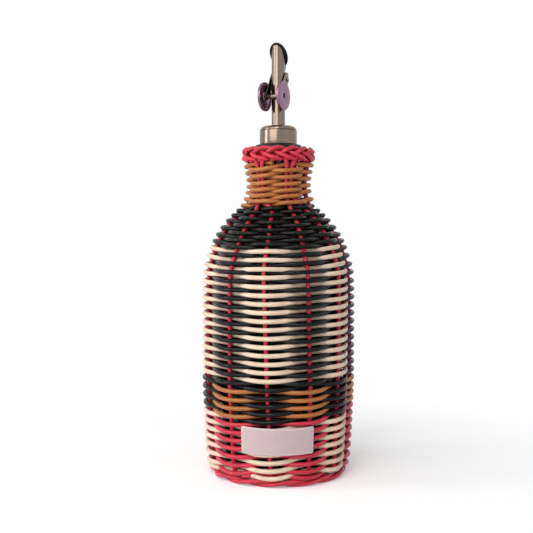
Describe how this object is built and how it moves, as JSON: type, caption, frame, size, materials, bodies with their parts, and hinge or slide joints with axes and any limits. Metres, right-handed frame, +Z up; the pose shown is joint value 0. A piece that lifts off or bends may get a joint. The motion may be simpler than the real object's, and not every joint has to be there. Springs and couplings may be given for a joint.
{
  "type": "woven oil pourer",
  "caption": "Glass oil bottle in a woven jacket with a braided rim, and a lift-out steel pourer whose weighted flap closes the spout.",
  "frame": {"origin": "centre of the foot, on the table", "axes": "+Z up along the bottle, -Y the front with the label; the spout pours over the front, 25 degrees round towards -X"},
  "size_m": [0.0955, 0.0953, 0.2696],
  "materials": {
    "dark_glass": "polished dark green glass",
    "cream_strand": "smooth extruded cord",
    "black_strand": "smooth extruded cord",
    "tan_strand": "smooth extruded cord",
    "red_strand": "smooth extruded cord",
    "label_patch": "smooth pale leather, bare",
    "steel": "polished stainless steel",
    "black_rubber": "matt silicone"
  },
  "bodies": {
    "bottle": {"glass_bottle": "dark_glass", "neck_weave": "tan_strand", "shoulder_weave": "black_strand", "body_weave": "cream_strand", "waist_weave": "tan_strand", "foot_weave": "cream_strand", "braided_border": "red_strand", "foot_border": "red_strand", "base_weave": "cream_strand", "stake_01": "red_strand", "stake_02": "red_strand", "stake_03": "red_strand", "stake_04": "red_strand", "stake_05": "red_strand", "stake_06": "red_strand", "stake_07": "red_strand", "stake_08": "red_strand", "stake_09": "red_strand", "stake_10": "red_strand", "stake_11": "red_strand", "stake_12": "red_strand", "label_patch": "label_patch"},
    "pourer": {"stopper": "black_rubber", "pourer_cap": "steel", "spout_tube": "steel", "air_tube": "steel", "hinge_rivet_left": "steel", "hinge_rivet_right": "steel"},
    "flap": {"lid_plate": "steel", "lid_gasket": "black_rubber", "lid_lever": "steel", "weight_axle": "steel", "weight_left": "steel", "weight_right": "steel"}
  },
  "joints": [
    {"name": "pourer_lift", "type": "slide", "parent": "bottle", "child": "pourer", "axis": [0, 0, 1], "range_m": [0, 0.036]},
    {"name": "lid_flap", "type": "hinge", "parent": "pourer", "child": "flap", "pos_m": [0.00101, 0.00218, 0.2469], "axis": [-0.9063, 0.4226, 0], "range_deg": [0, 65]}
  ]
}
